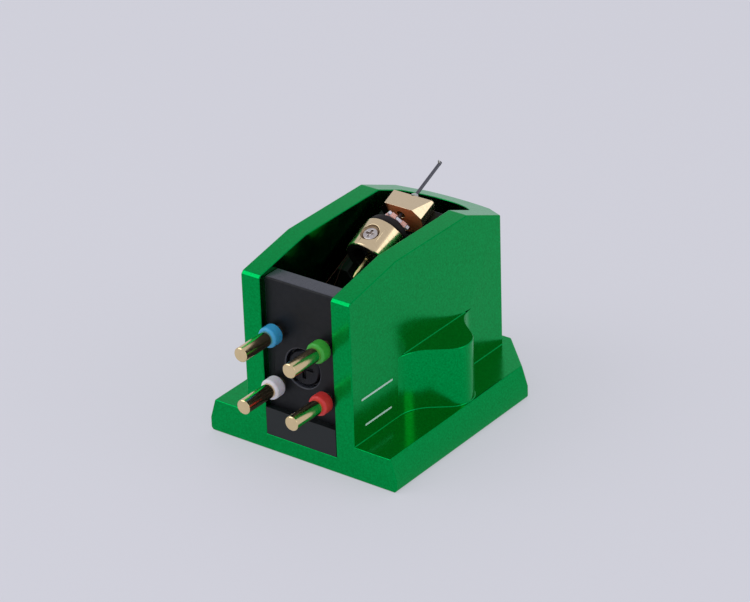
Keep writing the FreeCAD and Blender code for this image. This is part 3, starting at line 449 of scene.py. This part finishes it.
def one_turn(half_wide, half_thick):
    """The points of one turn of wire round the former, across its width and thickness."""
    bend = min(half_thick, CORNER_WIRES * WIRE_RADIUS)
    points = []
    for corner in range(CORNERS):
        side = 1 if corner in (0, 3) else -1
        face = 1 if corner in (0, 1) else -1
        for step in range(CORNER_POINTS):
            angle = (corner + step / (CORNER_POINTS - 1)) * math.pi / 2
            points.append((side * (half_wide - bend) + bend * math.cos(angle),
                           face * (half_thick - bend) + bend * math.sin(angle)))
    return points


def wound_coil(node, name):
    """Both bands of a coil as turns of wire laid side by side round the former."""
    curve = bpy.data.curves.new(name, "CURVE")
    curve.dimensions = "3D"
    curve.bevel_depth = WIRE_RADIUS
    curve.bevel_resolution = WIRE_ROUNDNESS
    for reach in bands_of(node):
        sizes = [high - low for low, high in reach]
        narrow, wide = (0, 1) if sizes[0] < sizes[1] else (1, 0)
        turns = round(sizes[narrow] / (2 * WIRE_RADIUS))
        middle = sum(((low + high) / 2 * axis for (low, high), axis in zip(reach, coil_axes)),
                     Vector((0, 0, 0)))
        turn_points = one_turn(sizes[wide] / 2 - WIRE_RADIUS, sizes[2] / 2 - WIRE_RADIUS)
        total = turns * len(turn_points) + 1
        spline = curve.splines.new("POLY")
        spline.points.add(total - 1)
        for i in range(total):
            wide_place, thick_place = turn_points[i % len(turn_points)]
            advance = (i / (total - 1) - 0.5) * (sizes[narrow] - 2 * WIRE_RADIUS)
            spot = (middle + diagonals[wide] * wide_place + along * thick_place
                    + diagonals[narrow] * advance)
            spline.points[i].co = (*spot, 1)
    curve.materials.append(pink_enamel)
    return add_object(name, curve)


for side in ("left", "right"):
    windings = wound_coil("coil_" + side, "windings_" + side)
    stands_for(windings, "coil_" + side, "stylus_assembly")


# Cantilever: a dark drawn rod with faint draw lines along it, through the bore of the front
# yoke, and held in the former at its back end.
CANTILEVER_EDGE_MM = 0.015
drawn_rod = grained("dark_drawn_rod", ("#54545c", "#68686f"), grain_mm=0.04,
                    relief_mm=0.0008, roughness=0.34, metallic=0.7, shine=(0.28, 0.4),
                    stretch=(1, 0.05, 1), tilt=-AXIS_TILT)
cantilever = soft_edged("cantilever", "drawn_cantilever", drawn_rod, CANTILEVER_EDGE_MM)
stands_for(cantilever, "cantilever", "stylus_assembly")

# Stylus: a ground diamond pin set across the rod's end, clear and a little smoky.
STYLUS_EDGE_MM = 0.01
diamond = grained("ground_diamond", ("#cfcbc4", "#e6e2da"), grain_mm=0.03,
                  relief_mm=0.0005, roughness=0.08, shine=(0.05, 0.2), IOR=2.42,
                  Transmission_Weight=0.6)
stylus = soft_edged("stylus", "ground_stylus", diamond, STYLUS_EDGE_MM)
stands_for(stylus, "stylus", "stylus_assembly")

# Bead: pale grey damping paste round the rod where it leaves the front yoke, smeared by hand.
ROD_RADIUS_MM = 0.14
# How far out and how far along the rod its outline runs, in mm
BEAD_OUTLINE = ((ROD_RADIUS_MM, 0.36), (0.19, 0.33), (0.25, 0.25), (0.3, 0.15), (0.31, 0.07),
                (0.27, 0.03), (ROD_RADIUS_MM, 0.03))
BEAD_STEPS = 28
# Waves round the bead, with the share of its width and the phase of each
SMEAR = ((3, 0.06, 1), (5, 0.04, 0))

paste = grained("damping_paste", ("#a4a8a2", "#c4c8c2"), grain_mm=0.1, relief_mm=0.003,
                roughness=0.35, Subsurface_Weight=0.2, Subsurface_Scale=0.2 * MM)


def smeared_bead():
    """The bead's outline turned round the rod, with its width uneven."""
    work = bmesh.new()
    rings = []
    for out, reach in BEAD_OUTLINE:
        ring = []
        for step in range(BEAD_STEPS):
            angle = 2 * math.pi * step / BEAD_STEPS
            smear = 1 + sum(share * math.sin(waves * angle + phase)
                            for waves, share, phase in SMEAR)
            wide = out if out == ROD_RADIUS_MM else out * smear
            ring.append(work.verts.new(
                AXIS_FRONT + along * (reach * MM)
                + (across * math.cos(angle) + above * math.sin(angle)) * (wide * MM)))
        rings.append(ring)
    for one, two in zip(rings, rings[1:] + rings[:1]):
        for i in range(BEAD_STEPS):
            j = (i + 1) % BEAD_STEPS
            work.faces.new((one[i], one[j], two[j], two[i])).smooth = True
    return closed_piece(work, "paste_bead", paste)


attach(smeared_bead(), "stylus_assembly")


# Front yoke: a short soft iron pole with a sloping flat and a bevel each side, ground and gold
# plated. Its back face, against the coils, is painted copper brown as a painted reflection of
# the pink coils in the gold.
FRONT_YOKE_EDGE_MM = 0.03
# The painted reflection fades to painted black shade towards the left rim
SHADE_FADE_EDGE_MM = (-1.25, -0.85)
# A face looks along a direction when the cosine between them is above this
FACING = 0.9


def looks_along(way):
    """A test that picks the faces which look along the way."""
    return lambda face: face.normal.dot(way) > FACING


# Grinding scratches 0.05 mm apart along the flat
ground_gold = grained("ground_gold_plate", ("#e0caa4", "#ecd8b4"), grain_mm=0.05,
                      relief_mm=0.0008, roughness=0.24, metallic=1.0, shine=(0.2, 0.28),
                      stretch=(0.1, 1, 1), tilt=-AXIS_TILT)
# Painted reflection of the coils on the back face, fading into painted shade across X
coil_reflection_paint = grained("coil_reflection_paint", ("#d0743c", "#f0a068"), grain_mm=0.3, relief_mm=0.002,
                       roughness=0.42, metallic=0.5, shine=(0.35, 0.5))
reflection_colour = shader_of(coil_reflection_paint).inputs["Base Color"]
reflection_mottle = reflection_colour.links[0].from_socket
reflection_place = add_node(coil_reflection_paint, "ShaderNodeTexCoord")
reflection_side = add_node(coil_reflection_paint, "ShaderNodeSeparateXYZ",
                      links={"Vector": reflection_place.outputs["Object"]})
reflection_share = add_node(coil_reflection_paint, "ShaderNodeMapRange",
                       {"From Min": SHADE_FADE_EDGE_MM[0] * MM, "From Max": SHADE_FADE_EDGE_MM[1] * MM},
                       {"Value": reflection_side.outputs["X"]})
reflection_into_shade = add_node(coil_reflection_paint, "ShaderNodeMixRGB", {"Color1": linear("#100806")},
                      {"Fac": reflection_share.outputs["Result"], "Color2": reflection_mottle})
coil_reflection_paint.node_tree.links.new(reflection_into_shade.outputs["Color"], reflection_colour)
front_yoke = soft_edged("front_yoke", "ground_front_yoke", ground_gold, FRONT_YOKE_EDGE_MM)
refinish(front_yoke, coil_reflection_paint, looks_along(-along))
stands_for(front_yoke, "front_yoke", "cartridge")


# Leads: two enamelled copper wires from each side of the coils back to the pins' tails.
PIN_ROLES = ("right_live", "right_return", "left_live", "left_return")
dark_enamel = grained("dark_enamelled_copper", ("#2a120a", "#44200f"), grain_mm=0.2,
                      relief_mm=0.0005, roughness=0.35, metallic=0.6)
for role in PIN_ROLES:
    for finish in nodes["lead_" + role].material_slots:
        finish.material = dark_enamel


# Terminal block: black glass-filled plastic, moulded in a spark-eroded tool, which leaves a
# fine matt texture. It closes the channel between the cheeks and carries the pins.
BLOCK_EDGE_MM = 0.1
spark_texture = grained("black_moulded_plastic", ("#0a0c0f", "#13161a"), grain_mm=0.12,
                        relief_mm=0.008, roughness=0.5, shine=(0.42, 0.55),
                        Specular_IOR_Level=0.28)
# The top face and the edges are smoother, and painted lighter and bluish as a painted sheen of
# the sky
sky_sheen_paint = grained("black_plastic_painted_sheen", ("#30333b", "#464952"), grain_mm=0.12,
                       relief_mm=0.004, roughness=0.3, shine=(0.25, 0.36))
block = soft_edged("terminal_block", "moulded_block", spark_texture, BLOCK_EDGE_MM, segments=3)
# Painted sheen: the top face and the broken edges take the lighter colour
sheen_slot = refinish(block, sky_sheen_paint, looks_along(Vector((0, 0, 1))))
block.modifiers["edge_break"].material = sheen_slot
stands_for(block, "terminal_block", "cartridge")

# Plate: a bare strip of smooth black plastic under the block.
PLATE_EDGE_MM = 0.03
bare_plate = grained("smooth_black_plastic", ("#121819", "#1a2123"), grain_mm=0.25,
                     relief_mm=0.002, roughness=0.4, shine=(0.35, 0.45),
                     Specular_IOR_Level=0.35)
plate = soft_edged("label_plate", "bare_plate", bare_plate, PLATE_EDGE_MM)
stands_for(plate, "label_plate", "cartridge")

# Block screw: a slotted pan head in its recess, black oxide like the bracket's.
BLOCK_SCREW_EDGE_MM = 0.05
block_screw = soft_edged("terminal_screw", "slotted_block_screw", black_oxide,
                         BLOCK_SCREW_EDGE_MM, segments=3)
stands_for(block_screw, "terminal_screw", "cartridge")


# Terminal pins: turned brass, gold plated, their ends faced flat with a small chamfer.
# Collars: a short coloured sleeve of soft plastic round each pin tells the leads apart.
PIN_EDGE_MM = 0.03
SLEEVE_EDGE_MM = 0.22
# The sleeves stand this far further out on their pins than the CAD shows
SLEEVE_OUT = Vector((0, -0.32, 0)) * MM
# Edges nearer the pin than this stay sharp, and only the outside is domed
SLEEVE_BORE = 0.75 * MM
COLLARS = {
    "right_live": ("red", "#dc3434", "#ec4440"),
    "right_return": ("green", "#3aac36", "#48bc42"),
    "left_live": ("white", "#f2eef6", "#fcfaff"),
    "left_return": ("blue", "#38a6da", "#4cbaea"),
}
# Turning marks run round the pins, so the grain is long across them
pin_plate = grained("gold_plated_pin", ("#e0c898", "#ecd6a8"), grain_mm=0.05,
                    relief_mm=0.001, roughness=0.12, metallic=1.0, shine=(0.13, 0.2),
                    stretch=TURNED)


def keep_bore_sharp(collar):
    """Takes the edges of a sleeve's bore out of its rounding."""
    mesh = collar.data
    middle = sum((vert.co for vert in mesh.vertices), Vector()) / len(mesh.vertices)
    rounded = mesh.attributes["bevel_weight_edge"].data
    for edge in mesh.edges:
        spot = mesh.vertices[edge.vertices[0]].co - middle
        if math.hypot(spot.x, spot.z) < SLEEVE_BORE:
            rounded[edge.index].value = 0


for role in PIN_ROLES:
    pin = soft_edged("pin_" + role, "turned_pin_" + role, pin_plate, PIN_EDGE_MM)
    stands_for(pin, "pin_" + role, "cartridge")
    colour, deep, light = COLLARS[role]
    sleeve = grained(colour + "_sleeve_plastic", (deep, light), grain_mm=0.3, relief_mm=0.002,
                     roughness=0.38, shine=(0.34, 0.44), Subsurface_Weight=0.1,
                     Subsurface_Scale=0.3 * MM)
    collar = soft_edged("collar_" + colour, "sleeve_" + colour, sleeve, SLEEVE_EDGE_MM,
                        segments=5)
    keep_bore_sharp(collar)
    for vert in collar.data.vertices:
        vert.co += SLEEVE_OUT
    stands_for(collar, "collar_" + colour, "cartridge")


# Stage: a pale floor under a plain pale sky, a soft lamp high on the left behind the pins and
# a second one, lower, on the right.
FLOOR_HALF = 0.6
FLOOR_DROP = 0.02 * MM
# What the camera, the metal and clear parts see of the floor is lifted by a plain glow, so that
# the shadow stays soft and pale
FLOOR_GLOW = 0.6
SKY = "#cfcfd8"


def soft_lamp(name, place, size, power):
    """An area lamp aimed at the part, with its place and size in metres."""
    data = bpy.data.lights.new(name, "AREA")
    data.shape = "RECTANGLE"
    data.size, data.size_y = size
    data.energy = power
    lamp = add_object(name, data)
    lamp.location = place
    lamp.rotation_euler = (LOOK_AT - Vector(place)).to_track_quat("-Z", "Y").to_euler()


soft_lamp("left_lamp", place=(-0.16, -0.14, 0.21), size=(0.2, 0.2), power=0.17)
soft_lamp("right_lamp", place=(0.27, 0.06, 0.15), size=(0.14, 0.2), power=0.09)

floor_mesh = bpy.data.meshes.new("floor")
floor_mesh.from_pydata([(-FLOOR_HALF, -FLOOR_HALF, 0), (FLOOR_HALF, -FLOOR_HALF, 0),
                        (FLOOR_HALF, FLOOR_HALF, 0), (-FLOOR_HALF, FLOOR_HALF, 0)],
                       [], [(0, 1, 2, 3)])
floor = add_object("floor", floor_mesh)
floor.location.z = -FLOOR_DROP
floor_paint = new_material("pale_floor", 0.6)
floor_shader = shader_of(floor_paint)
floor_shader.inputs["Base Color"].default_value = linear("#d6d6df")
rays = add_node(floor_paint, "ShaderNodeLightPath").outputs
seen = add_node(floor_paint, "ShaderNodeMath", operation="MAXIMUM",
                links={0: rays["Is Camera Ray"], 1: rays["Is Glossy Ray"]})
seen_at_all = add_node(floor_paint, "ShaderNodeMath", operation="MAXIMUM",
                       links={0: seen.outputs["Value"], 1: rays["Is Transmission Ray"]})
share = add_node(floor_paint, "ShaderNodeMath", {1: FLOOR_GLOW},
                 {0: seen_at_all.outputs["Value"]}, operation="MULTIPLY")
glow = add_node(floor_paint, "ShaderNodeEmission", {"Color": linear("#dadae2")})
lifted = add_node(floor_paint, "ShaderNodeMixShader",
                  links={"Fac": share.outputs["Value"], 1: floor_shader.outputs["BSDF"],
                         2: glow.outputs["Emission"]})
floor_paint.node_tree.links.new(lifted.outputs["Shader"],
                                floor_paint.node_tree.nodes["Material Output"].inputs["Surface"])
floor_mesh.materials.append(floor_paint)

world = bpy.data.worlds.new("studio")
bpy.context.scene.world = world
world.use_nodes = True
world.node_tree.nodes["Background"].inputs["Color"].default_value = linear(SKY)

bpy.context.scene.view_settings.view_transform = "Standard"

bpy.context.view_layer.update()
